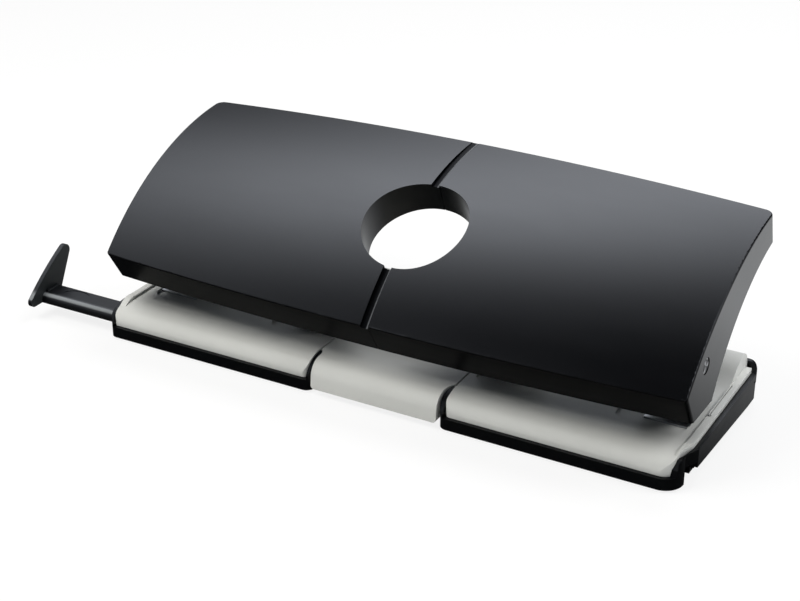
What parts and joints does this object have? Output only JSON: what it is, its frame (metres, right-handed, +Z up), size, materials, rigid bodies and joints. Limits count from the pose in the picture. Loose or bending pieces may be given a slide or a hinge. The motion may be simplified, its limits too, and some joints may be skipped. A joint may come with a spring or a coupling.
{
  "type": "desk hole punch",
  "caption": "Long desk punch: a hinged handle with a finger hole presses pins through paper on a two-part base with a pull-out paper guide and chip drawers.",
  "frame": {"origin": "on the table, under the middle of the whole outline seen from above with the guide drawn out as in the picture", "axes": "+X along the length to the user's right, +Y from the user to the back, +Z up"},
  "size_m": [0.3114, 0.1023, 0.0854],
  "materials": {
    "handle_plastic": "satin black",
    "frame_plastic": "fine grained black",
    "deck_plastic": "fine grained light warm grey",
    "rail_plastic": "fine grained dark grey",
    "pressed_steel": "zinc plated sheet",
    "tool_steel": "ground and hardened",
    "spring_steel": "drawn wire",
    "foot_rubber": "matt"
  },
  "bodies": {
    "base": {"base_plate": "pressed_steel", "base_frame_left": "frame_plastic", "base_frame_right": "frame_plastic", "deck_cover_left": "deck_plastic", "deck_cover_right": "deck_plastic", "centre_bridge": "deck_plastic", "bracket_rivets": "tool_steel", "deck_screws": "tool_steel", "frame_screws": "tool_steel", "rubber_feet": "foot_rubber", "punch_bracket_1": "pressed_steel", "punch_bracket_2": "pressed_steel", "punch_bracket_3": "pressed_steel", "punch_bracket_4": "pressed_steel", "return_spring_1": "spring_steel", "return_spring_2": "spring_steel", "return_spring_3": "spring_steel", "return_spring_4": "spring_steel"},
    "handle": {"lever_plate": "pressed_steel", "handle_shell_left": "handle_plastic", "handle_shell_right": "handle_plastic", "pivot_axle_left": "tool_steel", "pivot_axle_right": "tool_steel", "presser_rod_left": "tool_steel", "presser_rod_right": "tool_steel", "axle_lock_rings": "tool_steel", "shell_screws": "tool_steel"},
    "pin_1": {"punch_pin_1": "tool_steel"},
    "pin_2": {"punch_pin_2": "tool_steel"},
    "pin_3": {"punch_pin_3": "tool_steel"},
    "pin_4": {"punch_pin_4": "tool_steel"},
    "guide": {"paper_guide_rail": "rail_plastic"},
    "drawer_left": {"chip_drawer_left": "frame_plastic"},
    "drawer_right": {"chip_drawer_right": "frame_plastic"}
  },
  "joints": [
    {"name": "handle_press", "type": "hinge", "parent": "base", "child": "handle", "pos_m": [0.02135, -0.02848, 0.0473], "axis": [-1, 0, 0], "range_deg": [0, 24], "stiffness_Nm_per_rad": 0.6, "springref_deg": -34.38},
    {"name": "pin_stroke_1", "type": "slide", "parent": "base", "child": "pin_1", "axis": [0, 0, -1], "range_m": [0, 0.0081], "deforming": ["return_spring_1"]},
    {"name": "pin_stroke_2", "type": "slide", "parent": "base", "child": "pin_2", "axis": [0, 0, -1], "range_m": [0, 0.0081], "deforming": ["return_spring_2"]},
    {"name": "pin_stroke_3", "type": "slide", "parent": "base", "child": "pin_3", "axis": [0, 0, -1], "range_m": [0, 0.0081], "deforming": ["return_spring_3"]},
    {"name": "pin_stroke_4", "type": "slide", "parent": "base", "child": "pin_4", "axis": [0, 0, -1], "range_m": [0, 0.0081], "deforming": ["return_spring_4"]},
    {"name": "guide_slide", "type": "slide", "parent": "base", "child": "guide", "axis": [-1, 0, 0], "range_m": [-0.036, 0.014]},
    {"name": "drawer_slide_left", "type": "slide", "parent": "base", "child": "drawer_left", "axis": [-1, 0, 0], "range_m": [0, 0.06]},
    {"name": "drawer_slide_right", "type": "slide", "parent": "base", "child": "drawer_right", "axis": [1, 0, 0], "range_m": [0, 0.06]}
  ],
  "couplings": [
    {"joint": "pin_stroke_1", "follows": "handle_press", "m_per_rad": 0.01886},
    {"joint": "pin_stroke_2", "follows": "handle_press", "m_per_rad": 0.01886},
    {"joint": "pin_stroke_3", "follows": "handle_press", "m_per_rad": 0.01886},
    {"joint": "pin_stroke_4", "follows": "handle_press", "m_per_rad": 0.01886}
  ]
}
